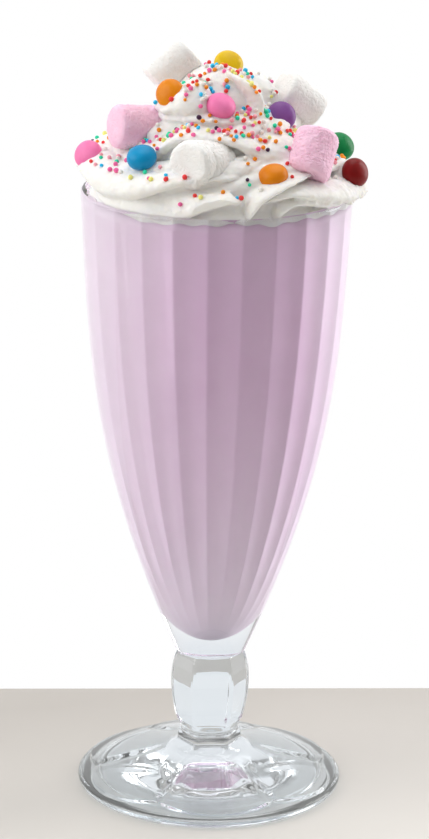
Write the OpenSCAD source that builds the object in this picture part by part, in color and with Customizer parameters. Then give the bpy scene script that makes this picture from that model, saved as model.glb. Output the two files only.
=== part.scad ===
// Milkshake in a footed, fluted glass, heaped with piped whipped cream,
// marshmallows and sugar-shelled candies.
// Millimetres. The origin is the centre of the foot's underside, +Z is up and -Y is the front.

/* [Glass] */
// Height of the glass, from the table to the rim
glass_h = 200; // [165:1:245]
// Outer radius of the rim
rim_r = 43; // [35:0.5:53]
// Thickness of the wall at the rim
rim_wall = 2; // [1.6:0.1:3]
// Radius of the lip's rounding, outside and inside
lip_round = 0.8; // [0.4:0.1:0.9]
// Outer radius of the neck, where the bowl meets the knop
neck_r = 11.3; // [9.5:0.1:13.5]
// Height of the neck
neck_h = 46; // [40:1:56]
// How far the bowl's lower curve runs outward before it bends up
bowl_low_out = 28.4; // [20:0.2:30]
// How far the bowl's lower curve runs upward before it bends up
bowl_low_up = 65.4; // [50:0.2:70]
// How far the bowl's upper curve leans in below the rim
bowl_high_in = 2.7; // [0:0.1:5]
// How far below the rim the bowl's upper curve starts to bend
bowl_high_down = 55.3; // [40:0.1:65]
// Thickness of solid glass between the neck and the tip of the inside
bowl_floor = 7; // [4:0.5:9]
// Sideways reach of the inside's rounded tip
tip_reach = 14.8; // [10:0.1:20]
// How far below the drink's level the inside's upper curve starts to bend
inside_high_down = 88; // [70:1:95]
// How far the inside leans in at the bend of its upper curve
inside_high_in = 2.7; // [0:0.1:5]

/* [Flutes] */
// Number of flutes round the inside of the bowl
flutes = 24; // [16:1:30]
// Depth of a flute, from its edges to its middle
flute_depth = 0.75; // [0.3:0.05:1]
// Height above the tip of the inside at which the flutes reach their full depth
flute_fade = 45; // [20:1:80]
// Turn of the glass: a flute, a face of the knop and a petal of the foot point this far right of front
glass_turn = 4; // [-30:1:30]

/* [Knop] */
// Distance from the axis to the middle of a knop face, at its widest
knop_r = 11.3; // [10.5:0.1:13.5]
// Height of the knop's widest place
knop_mid_h = 36; // [32:0.5:38]
// Distance from the axis to a knop face at its top edge
knop_top_r = 9.5; // [8.5:0.1:10.5]
// Distance from the axis to a knop face at its bottom edge
knop_low_r = 9.4; // [8.5:0.1:10.5]
// Height of the knop's bottom edge
knop_low_h = 21.3; // [20.5:0.1:24]
// Height of the rounded shoulder, from where it trims the knop's corners up to the neck
shoulder_h = 4.5; // [2:0.5:7]
// Radius of the groove between the knop and the foot
groove_r = 9.3; // [7.5:0.1:9.3]
// Radius of the six-sided collar under the groove, at its corners
collar_r = 10.6; // [9.6:0.1:12]
// Height of that collar's top face
collar_h = 18.2; // [17:0.1:19.2]

/* [Foot] */
// Outer radius of the foot
foot_r = 43.3; // [36:0.5:53]
// Height of the foot's outer edge, where its top begins
foot_edge_h = 4.4; // [3.5:0.1:5.5]
// Height at which the foot's dome meets the stem
foot_dome_h = 13.6; // [11:0.1:15]
// Height that the cove adds to the dome at the stem
cove_h = 3.4; // [1:0.1:4]
// Width of the cove round the stem
cove_w = 5; // [3:0.5:8]
// Number of petals pressed into the foot's top
petals = 6; // [5:1:8]
// How far the petals stand above the border round them
petal_rise = 0.8; // [0.4:0.1:1.2]
// Width of the border outside a petal's tip
petal_border = 1.8; // [1.2:0.1:4]
// Radius of a petal's rounded end
petal_round = 22.4; // [19:0.1:24]
// Width of the flat ring that the foot stands on
contact_w = 5; // [3:0.5:8]
// How far the foot's edge rounds in from its widest place down to the table
edge_round = 2.3; // [1:0.1:3]
// Depth of the hollow under the foot
hollow_depth = 2.6; // [1:0.1:3.4]

/* [Drink] */
// Distance from the rim down to the drink's level
drink_below_rim = 2.2; // [1.2:0.1:12]
// Gap between the drink or the cream and the glass
wall_gap = 0.1; // [0.05:0.05:0.3]

/* [Whipped cream] */
// Height of the cream above the rim
cream_h = 41; // [32:1:52]
// How far the cream's lowest turn stands out past the rim
cream_over = 0.8; // [0:0.1:3]
// Gap between the cream's overhang and the top of the rim
rim_gap = 0.3; // [0.1:0.1:1]
// Number of turns that the piped rope makes
swirl_turns = 3.25; // [2.5:0.05:3.5]
// Where the rope starts, in degrees to the right of the front
swirl_start = 16; // [-180:1:180]
// Number of ridges round the rope
ridges = 6; // [5:1:8]
// Depth of the folds between ridges, in percent of the rope's half width
fold_depth = 24; // [8:1:30]
// Degrees that the ridges wind round the rope in each degree of its turn
ridge_twist = 1.25; // [0.5:0.05:1.6]

/* [Candies] */
// Diameter of a candy
candy_d = 9.4; // [8:0.1:11.5]
// Thickness of a candy
candy_t = 6.8; // [5.5:0.1:8.5]

/* [Marshmallows] */
// Diameter of a marshmallow
mallow_d = 13.2; // [11:0.1:16]
// Length of a marshmallow
mallow_l = 15.4; // [12.5:0.1:18.5]
// Rounding of a marshmallow's ends
mallow_round = 2; // [1:0.1:4]
// How far the middle of a marshmallow's side bulges
mallow_bulge = 0.4; // [0:0.1:1]
// Gap between a candy or a marshmallow and the cream that it sits in
seat_gap = 0.15; // [0.05:0.05:0.5]

/* [Hidden] */

// Places on the cream: across to the right and to the back in percent of the cream's radius,
// up in percent of its height, then the tilt of the piece's own axis and the way it leans.
candy_places = [
    [7, 5, 99, 46, -74],      // 0 yellow, top
    [-34, -27, 80, 66, -124], // 1 orange, high
    [2, -41, 74, 32, -53],    // 2 pink, middle
    [45, -18, 62, 60, -69],   // 3 purple
    [-92, -14, 29, 60, -126], // 4 pink, left
    [-53, -59, 38, 25, -111], // 5 blue
    [88, 0, 35, 52, -50],     // 6 green
    [98, -27, 21, 73, -43],   // 7 red
    [39, -75, 29, 21, -124],  // 8 orange, low
    [59, 62, 33, 53, 60],     // 9 yellow, back
    [-14, 82, 30, 30, 90],    // 10 green, back
    [-46, 87, 22, 44, 117]    // 11 blue, back
];
mallow_places = [
    [-10, -68, 38, 84, -125], // 0 white, front
    [-33, 9, 93, 47, 16],     // 1 white, left
    [57, 14, 68, 53, -153],   // 2 white, right
    [-58, -18, 52, 84, -153], // 3 pink, left
    [67, -50, 40, 143, -114], // 4 pink, right
    [18, 73, 35, 84, 37],     // 5 pink, back
    [-55, 50, 33, 79, 120]    // 6 white, back
];

// The rope of cream, turn by turn: where its outer side reaches in percent of the cream's radius,
// where its middle lies in percent of the cream's height, and half its width and height.
rope_reach = [[0, 100], [0.9, 100], [1.2, 88], [1.5, 71], [2, 62], [2.5, 51], [3, 37], [3.25, 24]];
rope_mid = [[0, 13], [0.9, 18], [1.2, 28], [1.5, 35], [2, 48], [2.5, 63], [3, 79], [3.25, 89]];
rope_half_w = [[0, 12], [0.9, 13.5], [1.5, 11.5], [2, 10.5], [2.5, 9.5], [3, 8], [3.25, 4.5]];
rope_half_h = [[0, 7], [0.9, 8.5], [1.5, 7.5], [2, 7], [2.5, 7], [3, 6.5], [3.25, 4.5]];
table_turns = 3.25;

rope_steps = 30;        // stations in each turn of the rope
rope_length = 10;       // stations in each length of the rope
ridge_points = 3;       // points across each ridge of the rope
flute_points = 3;       // points across each flute
bowl_steps = 26;        // points along the bowl's outer curve
inside_steps = 12;      // rings up the inside of the bowl
knop_steps = 8;         // points along each half of a knop face
foot_steps = 10;        // points along the foot's dome
dome_power = 1.2;       // fullness of the foot's dome
fine = 96;              // facets that stand for a full circle
pocket_facets = 16;     // sides of the cream's pockets

drink_h = glass_h - drink_below_rim;
inside_r = rim_r - rim_wall;
tip_h = neck_h + bowl_floor;
cream_r = rim_r + cream_over;
front = -90 + glass_turn;

// A point on the cubic curve through a and d, bent by the handles b and c
function curve(a, b, c, d, t) =
    a * pow(1 - t, 3) + 3 * b * pow(1 - t, 2) * t + 3 * c * (1 - t) * t * t + d * pow(t, 3);
function smooth(t) = let (u = min(1, max(0, t))) u * u * (3 - 2 * u);

// Outline of the bowl's outside, from the neck up to the lip
function bowl_point(t) = curve(
    [neck_r, neck_h],
    [neck_r + bowl_low_out, neck_h + bowl_low_up],
    [rim_r - bowl_high_in, glass_h - bowl_high_down],
    [rim_r, glass_h - lip_round], t);

// Edge line between two flutes, from the tip of the inside up to the drink's level
function inside_point(t) = curve(
    [0, tip_h],
    [tip_reach, tip_h],
    [inside_r - inside_high_in, drink_h - inside_high_down],
    [inside_r, drink_h], t);

// One ring of the fluted inside: its edge radius r, its height z
function fluted_ring(r, z) = [
    for (k = [0 : flutes * flute_points - 1])
        let (across = (k % flute_points) / flute_points,
             dent = flute_depth * sin(180 * across) * smooth((z - tip_h) / flute_fade),
             turn = (k / flute_points + 0.5) * 360 / flutes)
        [(r - dent) * cos(turn), (r - dent) * sin(turn), z]
];

// Closed solid through rings that all have the same number of points
module skin(rings) {
    n = len(rings[0]);
    top = len(rings) - 1;
    sides = [
        for (i = [0 : top - 1], k = [0 : n - 1])
            let (next = (k + 1) % n)
            each [
                [i * n + k, (i + 1) * n + k, (i + 1) * n + next],
                [i * n + k, (i + 1) * n + next, i * n + next]
            ]
    ];
    ends = [[for (k = [0 : n - 1]) k], [for (k = [n - 1 : -1 : 0]) top * n + k]];
    polyhedron([for (ring = rings) each ring], concat(sides, ends), convexity = 6);
}

// Rings of the inside up to the drink's level, all drawn in by a gap
function inside_rings(gap) = [
    for (i = [1 : inside_steps])
        let (p = inside_point(i / inside_steps))
        fluted_ring(p[0] - gap, i == inside_steps ? p[1] : p[1] + gap)
];

module cavity() {
    above = 1; // how far the cut runs on above the rim
    flare = [
        fluted_ring(inside_r, glass_h - lip_round),
        fluted_ring(inside_r + 0.3 * lip_round, glass_h - 0.3 * lip_round),
        fluted_ring(inside_r + lip_round, glass_h),
        fluted_ring(inside_r + lip_round, glass_h + above)
    ];
    rotate([0, 0, front]) skin(concat(inside_rings(0), flare));
}

module bowl() {
    corners = 4;
    rotate_extrude($fn = fine) polygon(concat(
        [[0, neck_h - shoulder_h / 2]],
        [[neck_r, neck_h - shoulder_h / 2]],
        [for (i = [0 : bowl_steps]) bowl_point(i / bowl_steps)],
        [for (i = [1 : corners])
            let (a = 90 * i / corners)
            [rim_r - lip_round * (1 - cos(a)), glass_h - lip_round * (1 - sin(a))]],
        [[0, glass_h]]
    ));
}

// Distance from the axis to a knop face at height z
function knop_face(z) = z > knop_mid_h
    ? knop_r - (knop_r - knop_top_r) * pow((z - knop_mid_h) / (neck_h - knop_mid_h), 2)
    : knop_r - (knop_r - knop_low_r) * pow((knop_mid_h - z) / (knop_mid_h - knop_low_h), 2);

// A pair of opposite knop faces, as a slab across the stem
module knop_slab() {
    low = [for (i = [0 : knop_steps]) knop_low_h + (knop_mid_h - knop_low_h) * i / knop_steps];
    high = [for (i = [1 : knop_steps]) knop_mid_h + (neck_h - knop_mid_h) * i / knop_steps];
    heights = concat(low, high);
    last = len(heights) - 1;
    right = [for (z = heights) [knop_face(z), z]];
    left = [for (i = [last : -1 : 0]) [-right[i][0], right[i][1]]];
    rotate([90, 0, 0]) linear_extrude(height = 4 * knop_r, center = true) polygon(concat(right, left));
}

// Round envelope that trims the knop's corners into a shoulder under the neck
module knop_shoulder() {
    widest = knop_r / cos(30) + 0.2;
    steps = 6;
    rotate_extrude($fn = fine) polygon(concat(
        [[0, knop_low_h], [widest, knop_low_h], [widest, neck_h - shoulder_h]],
        [for (i = [1 : steps])
            let (a = 90 * i / steps)
            [neck_r + (widest - neck_r) * cos(a), neck_h - shoulder_h * (1 - sin(a))]],
        [[0, neck_h]]
    ));
}

module knop() {
    intersection() {
        knop_slab();
        rotate([0, 0, 60]) knop_slab();
        rotate([0, 0, 120]) knop_slab();
        knop_shoulder();
    }
}

// Groove, six-sided collar and the short stem that joins the knop to the foot
module stem() {
    cylinder(r = groove_r, h = knop_low_h + 1, $fn = fine);
    rotate([0, 0, 30]) cylinder(r = collar_r, h = collar_h, $fn = 6);
}

// Height of the petals' top at radius r
function dome(r) =
    foot_edge_h
    + (foot_dome_h - foot_edge_h) * pow((foot_r - r) / (foot_r - groove_r), dome_power)
    + cove_h * pow(max(0, 1 - (r - groove_r) / cove_w), 2);

// Solid under the foot's top, with its top lowered by drop and its edge drawn in by inset
module foot_body(drop, inset) {
    edge = foot_r - inset;
    rotate_extrude($fn = fine) polygon(concat(
        [[0, 0], [edge - edge_round, 0]],
        [[edge - 0.3 * edge_round, 0.35 * edge_round], [edge, edge_round]],
        [[edge, foot_edge_h - drop - 0.5], [edge - 0.4, foot_edge_h - drop]],
        [for (i = [0 : foot_steps])
            let (r = edge - 1.2 - (edge - 1.2 - groove_r) * i / foot_steps)
            [r, dome(r) - drop]],
        [[0, dome(groove_r) - drop]]
    ));
}

// Scalloped outline of the petals
module petal_outline() {
    reach = foot_r - petal_border - petal_round;
    circle(r = reach, $fn = fine);
    for (k = [0 : petals - 1])
        rotate([0, 0, k * 360 / petals]) translate([reach, 0]) circle(r = petal_round, $fn = fine);
}

module foot() {
    difference() {
        union() {
            foot_body(petal_rise, 0);
            intersection() {
                foot_body(0, 0.2);
                linear_extrude(height = collar_h) petal_outline();
            }
        }
        foot_hollow();
    }
}

module foot_hollow() {
    ring = foot_r - edge_round - contact_w;
    steps = 5;
    translate([0, 0, -1]) cylinder(r = ring, h = 1.001, $fn = fine);
    rotate_extrude($fn = fine) polygon(concat(
        [[0, 0]],
        [for (i = [0 : steps])
            let (a = 90 * i / steps)
            [ring - ring * 0.25 * (1 - cos(a)), hollow_depth * sin(a)]],
        [[0, hollow_depth]]
    ));
}

module glass() {
    color("azure", 0.35)
    difference() {
        union() {
            bowl();
            rotate([0, 0, front]) {
                knop();
                stem();
                foot();
            }
        }
        cavity();
    }
}

module milkshake() {
    color("thistle") rotate([0, 0, front]) skin(inside_rings(wall_gap));
}

// Value of a rope table at a turn count, stretched to the number of turns
function along(turn, table) = lookup(turn * table_turns / swirl_turns, table);

// One section of the rope, a twisted star
function rope_ring(turn) =
    let (half_w = along(turn, rope_half_w),
         half_h = along(turn, rope_half_h),
         centre_r = max(0, cream_r * along(turn, rope_reach) / 100 - half_w),
         centre_z = glass_h + cream_h * along(turn, rope_mid) / 100,
         heading = swirl_start - 90 + 360 * turn)
    [
        for (k = [0 : ridges * ridge_points - 1])
            let (a = 360 * k / (ridges * ridge_points) + 360 * ridge_twist * turn,
                 size = k % ridge_points == 0 ? 1 - fold_depth / 100 : 1,
                 r = centre_r + half_w * size * cos(a))
            [r * cos(heading), r * sin(heading), centre_z + half_h * size * sin(a)]
    ];

// The rope is laid in lengths that overlap by one station, as its turns lie on one another
module rope() {
    stations = round(rope_steps * swirl_turns);
    for (start = [0 : rope_length : stations - 1]) {
        end = min(stations, start + rope_length + 1);
        skin([for (i = [end : -1 : start]) rope_ring(i / rope_steps)]);
    }
}

// Body of the cream inside the rope
module cream_core() {
    sides = 24;
    shape = [[0.78, 0.19], [0.57, 0.41], [0.4, 0.5], [0.12, 0.9]]; // shares of cream_r and cream_h
    translate([0, 0, glass_h])
        for (i = [0 : len(shape) - 2])
            hull()
                for (level = [shape[i], shape[i + 1]])
                    cylinder(r = level[0] * cream_r, h = level[1] * cream_h, $fn = sides);
}

// Cream that fills the glass from the drink's level up past the rim
module cream_plug() {
    rotate([0, 0, front]) skin([
        fluted_ring(inside_r - wall_gap, drink_h),
        fluted_ring(inside_r - wall_gap, glass_h + 2 * rim_gap)
    ]);
}

// Moves a piece to its place on the cream
module seat(place) {
    translate([cream_r * place[0] / 100, cream_r * place[1] / 100, glass_h + cream_h * place[2] / 100])
        rotate([0, place[3], place[4]])
            children();
}

// Room in the cream round a candy
module candy_pocket() {
    r = (candy_d / 2 + seat_gap) / cos(180 / pocket_facets);
    half = candy_t / 2 + seat_gap;
    hull() {
        cylinder(r = r, h = 0.45 * half, center = true, $fn = pocket_facets);
        cylinder(r = 0.87 * r, h = 1.25 * half, center = true, $fn = pocket_facets);
        cylinder(r = 0.55 * r, h = 2 * half, center = true, $fn = pocket_facets);
    }
}

// Room in the cream round a marshmallow
module mallow_pocket() {
    r = (mallow_d / 2 + mallow_bulge + seat_gap) / cos(180 / pocket_facets);
    length = mallow_l + 2 * seat_gap;
    hull() {
        cylinder(r = r, h = length - 1.2 * mallow_round, center = true, $fn = pocket_facets);
        cylinder(r = r - 0.6 * mallow_round, h = length, center = true, $fn = pocket_facets);
    }
}

module whipped_cream() {
    wide = 3 * cream_r;
    color("ivory")
    difference() {
        union() {
            cream_plug();
            intersection() {
                union() {
                    rope();
                    cream_core();
                }
                translate([-wide / 2, -wide / 2, glass_h + rim_gap]) cube([wide, wide, 2 * cream_h]);
            }
        }
        for (place = candy_places) seat(place) candy_pocket();
        for (place = mallow_places) seat(place) mallow_pocket();
    }
}

// A sugar-shelled candy: a full lens, a little squarer than an ellipse
module candy(place) {
    steps = 14;
    squareness = 0.9;
    seat(place) rotate_extrude($fn = fine) polygon([
        for (i = [0 : steps])
            let (a = -90 + 180 * i / steps)
            [candy_d / 2 * pow(max(0, cos(a)), squareness),
             candy_t / 2 * sign(sin(a)) * pow(abs(sin(a)), squareness)]
    ]);
}

// A marshmallow: a short roll with rounded ends and a slightly full side
module mallow(place) {
    steps = 4;
    r = mallow_d / 2;
    half = mallow_l / 2;
    corner = [
        for (i = [0 : steps])
            let (a = 90 * i / steps)
            [r - mallow_round * (1 - sin(a)), half - mallow_round * (1 - cos(a))]
    ];
    straight = half - mallow_round;
    side = [
        for (i = [1 : 2 * steps - 1])
            let (z = straight * (1 - i / steps))
            [r + mallow_bulge * (1 - pow(z / straight, 2)), z]
    ];
    below = [for (i = [steps : -1 : 0]) [corner[i][0], -corner[i][1]]];
    seat(place) rotate_extrude($fn = fine)
        polygon(concat([[0, half]], corner, side, below, [[0, -half]]));
}

glass();
milkshake();
whipped_cream();
color("white") mallow(mallow_places[0]);  // marshmallow_white_front
color("white") mallow(mallow_places[1]);  // marshmallow_white_left
color("white") mallow(mallow_places[2]);  // marshmallow_white_right
color("pink") mallow(mallow_places[3]);  // marshmallow_pink_left
color("pink") mallow(mallow_places[4]);  // marshmallow_pink_right
color("pink") mallow(mallow_places[5]);  // marshmallow_pink_back
color("white") mallow(mallow_places[6]);  // marshmallow_white_back
color("gold") candy(candy_places[0]);  // candy_yellow_top
color("orange") candy(candy_places[1]);  // candy_orange_high
color("hotpink") candy(candy_places[2]);  // candy_pink_middle
color("mediumpurple") candy(candy_places[3]);  // candy_purple
color("hotpink") candy(candy_places[4]);  // candy_pink_left
color("deepskyblue") candy(candy_places[5]);  // candy_blue
color("forestgreen") candy(candy_places[6]);  // candy_green
color("darkred") candy(candy_places[7]);  // candy_red
color("orange") candy(candy_places[8]);  // candy_orange_low
color("gold") candy(candy_places[9]);  // candy_yellow_back
color("forestgreen") candy(candy_places[10]);  // candy_green_back
color("deepskyblue") candy(candy_places[11]);  // candy_blue_back
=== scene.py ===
import math

import bmesh
import bpy
import numpy as np
from mathutils import Matrix, Vector
from mathutils.bvhtree import BVHTree


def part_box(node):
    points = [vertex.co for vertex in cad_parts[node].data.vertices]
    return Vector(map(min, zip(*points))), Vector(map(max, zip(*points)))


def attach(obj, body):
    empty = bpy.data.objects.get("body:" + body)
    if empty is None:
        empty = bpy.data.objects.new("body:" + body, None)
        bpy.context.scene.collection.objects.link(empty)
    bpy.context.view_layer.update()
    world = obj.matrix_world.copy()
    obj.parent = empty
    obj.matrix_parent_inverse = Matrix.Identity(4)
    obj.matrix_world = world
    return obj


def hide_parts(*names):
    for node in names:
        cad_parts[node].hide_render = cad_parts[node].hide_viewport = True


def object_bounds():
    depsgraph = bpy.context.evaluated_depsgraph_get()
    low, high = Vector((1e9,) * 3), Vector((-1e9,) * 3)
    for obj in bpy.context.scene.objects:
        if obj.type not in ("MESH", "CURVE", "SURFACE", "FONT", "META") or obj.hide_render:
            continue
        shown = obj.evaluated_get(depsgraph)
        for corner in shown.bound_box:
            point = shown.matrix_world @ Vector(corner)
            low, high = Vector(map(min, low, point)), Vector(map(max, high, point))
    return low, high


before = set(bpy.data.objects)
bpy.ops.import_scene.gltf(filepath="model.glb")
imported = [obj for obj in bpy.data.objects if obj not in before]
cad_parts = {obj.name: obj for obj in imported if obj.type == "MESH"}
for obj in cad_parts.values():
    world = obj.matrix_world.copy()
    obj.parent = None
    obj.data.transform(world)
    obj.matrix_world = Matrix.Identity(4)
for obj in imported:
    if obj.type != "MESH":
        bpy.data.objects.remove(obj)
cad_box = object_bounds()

MM = 0.001

# ---------------------------------------------------------------- sizes of the glass, in mm
# The outline follows the CAD glass, whose height and foot are read from the frame.
glass_low, glass_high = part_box("glass")
GLASS_H = glass_high.z / MM
FOOT_R = (glass_high.x - glass_low.x) / 2 / MM
RIM_R = 43.0
RIM_WALL = 2.0
LIP_ROUND = 0.8
NECK_R, NECK_H = 11.3, 46.0
BOWL_LOW_OUT, BOWL_LOW_UP = 28.4, 65.4
BOWL_HIGH_IN, BOWL_HIGH_DOWN = 2.7, 55.3
TIP_H, TIP_REACH = 53.0, 14.8
INSIDE_HIGH_DOWN, INSIDE_HIGH_IN = 88.0, 2.7
FLUTES, FLUTE_DEPTH, FLUTE_FADE = 24, 1.0, 45.0
GLASS_TURN = 4.0
KNOP_R, KNOP_TOP_R, KNOP_LOW_R = 11.3, 9.5, 9.4
KNOP_MID_H, KNOP_LOW_H, SHOULDER_H = 36.0, 21.3, 4.5
GROOVE_R, COLLAR_R, COLLAR_H = 9.3, 10.6, 18.2
FOOT_EDGE_H, FOOT_DOME_H, DOME_POWER = 4.4, 13.6, 1.2
COVE_H, COVE_W = 3.4, 5.0
PETALS, PETAL_RISE, PETAL_BORDER, PETAL_ROUND = 6, 1.1, 1.8, 22.4
PETAL_STEP_W = 0.9
CREASE_W, CREASE_DEPTH, CREASE_FROM, CREASE_FADE = 1.6, 0.7, 14.0, 10.0
FOOT_LIP_IN, FOOT_LIP_STEP = 1.2, 0.2
CLOSE_RINGS_TO, WIDE_RINGS_FROM = 33, 32.4      # the foot's rings lie close where the petals' edges run
CORNER_ROUND, CORNER_REACH = 0.22, 0.07     # in mm, and in radians to each side of a corner
CONTACT_W, EDGE_ROUND, HOLLOW_DEPTH = 5.0, 2.3, 2.6
DRINK_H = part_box("milkshake")[1].z / MM
INSIDE_R = RIM_R - RIM_WALL
INSIDE_ROWS = 110       # shared by the glass and the drink, so that their walls run alike
COLUMNS = 480           # a flute edge, a knop corner and a petal notch all fall on a column
BITE = 0.15             # how far the drink reaches into the glass, and the cream half as far, to hide the gap

theta = np.arange(COLUMNS) * 2 * math.pi / COLUMNS
heading = theta + math.radians(GLASS_TURN - 90)


# ---------------------------------------------------------------- small mesh tools
def smooth(t):
    u = np.clip(t, 0, 1)
    return u * u * (3 - 2 * u)


def bezier(a, b, c, d, t):
    t = np.asarray(t)[:, None]
    a, b, c, d = (np.asarray(p, float) for p in (a, b, c, d))
    return a * (1 - t) ** 3 + 3 * b * (1 - t) ** 2 * t + 3 * c * (1 - t) * t * t + d * t**3


def mesh_object(name, points, faces, flat=False):
    """A mesh object from points in mm and faces."""
    mesh = bpy.data.meshes.new(name)
    mesh.from_pydata((np.asarray(points) * MM).tolist(), [], faces)
    mesh.validate()
    if not flat:
        mesh.polygons.foreach_set("use_smooth", [True] * len(mesh.polygons))
    mesh.update()
    piece = bpy.data.objects.new(name, mesh)
    bpy.context.scene.collection.objects.link(piece)
    return piece


def tube_faces(rings, columns, start=0):
    """Quads between rings of points, and a fan on each end."""
    i = np.arange(rings - 1)[:, None] * columns
    k = np.arange(columns)[None]
    n = (k + 1) % columns
    quads = np.stack([i + k, i + n, i + columns + n, i + columns + k], -1).reshape(-1, 4) + start
    faces = quads.tolist()
    faces.append((np.arange(columns)[::-1] + start).tolist())
    faces.append((np.arange(columns) + (rings - 1) * columns + start).tolist())
    return faces


def lathe(name, rows, pole_low, pole_high):
    """A closed mesh from rows of (radius, height) over all columns, between two points on the axis."""
    rows = [(np.broadcast_to(r, theta.shape), np.broadcast_to(z, theta.shape)) for r, z in rows]
    rings = np.array([[r * np.cos(heading), r * np.sin(heading), z] for r, z in rows]).transpose(0, 2, 1)
    points = np.vstack([rings.reshape(-1, 3), [[0, 0, pole_low], [0, 0, pole_high]]])
    faces = tube_faces(len(rows), COLUMNS)[:-2]
    low, high = len(points) - 2, len(points) - 1
    last = (len(rows) - 1) * COLUMNS
    for k in range(COLUMNS):
        n = (k + 1) % COLUMNS
        faces.append([low, n, k])
        faces.append([high, last + k, last + n])
    return mesh_object(name, points, faces)


# Primes that turn a lattice cell into a well-mixed number.
HASH_AXES, HASH_SEED = (73856093, 19349663, 83492791), 2654435761
HASH_STEPS = ((13, 1274126177), (15, 2246822519))


def lattice(points, seed):
    """Smooth random values between 0 and 1 at points, one lattice cell to a unit."""
    base = np.floor(points).astype(np.int64)
    part = points - base
    part = part * part * (3 - 2 * part)
    total = np.zeros(len(points))
    for corner in range(8):
        step = np.array([corner & 1, corner >> 1 & 1, corner >> 2 & 1])
        cell = base + step
        mixed = seed * HASH_SEED
        for axis, prime in enumerate(HASH_AXES):
            mixed = cell[:, axis] * prime ^ mixed
        for shift, prime in HASH_STEPS:
            mixed = (mixed ^ mixed >> shift) * prime & 0x7FFFFFFF
        weight = np.prod(np.where(step, part, 1 - part), axis=1)
        total += weight * (mixed % 65536) / 65535
    return total


def noise(points, cell, seed, octaves=1):
    """Fractal noise between about -1 and 1, with its largest cell given in the points' unit."""
    total, gain = np.zeros(len(points)), 1.0
    for octave in range(octaves):
        total += gain * (2 * lattice(points / cell * 2**octave + 100, seed + octave) - 1)
        gain /= 2
    return total


def mesh_arrays(piece):
    mesh = piece.data
    points = np.zeros(len(mesh.vertices) * 3)
    normals = np.zeros(len(mesh.vertices) * 3)
    mesh.vertices.foreach_get("co", points)
    mesh.vertex_normals.foreach_get("vector", normals)
    return points.reshape(-1, 3) / MM, normals.reshape(-1, 3)


def set_points(piece, points):
    piece.data.vertices.foreach_set("co", (points * MM).ravel())
    piece.data.update()


def apply_modifiers(piece):
    graph = bpy.context.evaluated_depsgraph_get()
    baked = bpy.data.meshes.new_from_object(piece.evaluated_get(graph))
    piece.modifiers.clear()
    piece.data = baked
    baked.polygons.foreach_set("use_smooth", [True] * len(baked.polygons))
    return piece


def remesh(piece, voxel, smoothing):
    """Fuses overlapping closed forms into one skin."""
    piece.modifiers.new("fuse", "REMESH").mode = "VOXEL"
    piece.modifiers["fuse"].voxel_size = voxel * MM
    soft = piece.modifiers.new("soft", "SMOOTH")
    soft.factor, soft.iterations = 0.5, smoothing
    return apply_modifiers(piece)


def finish_piece(piece, material, slot, *nodes):
    piece.data.materials.clear()
    piece.data.materials.append(material)
    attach(piece, "root")
    if nodes:
        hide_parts(*nodes)
    return piece


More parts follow.
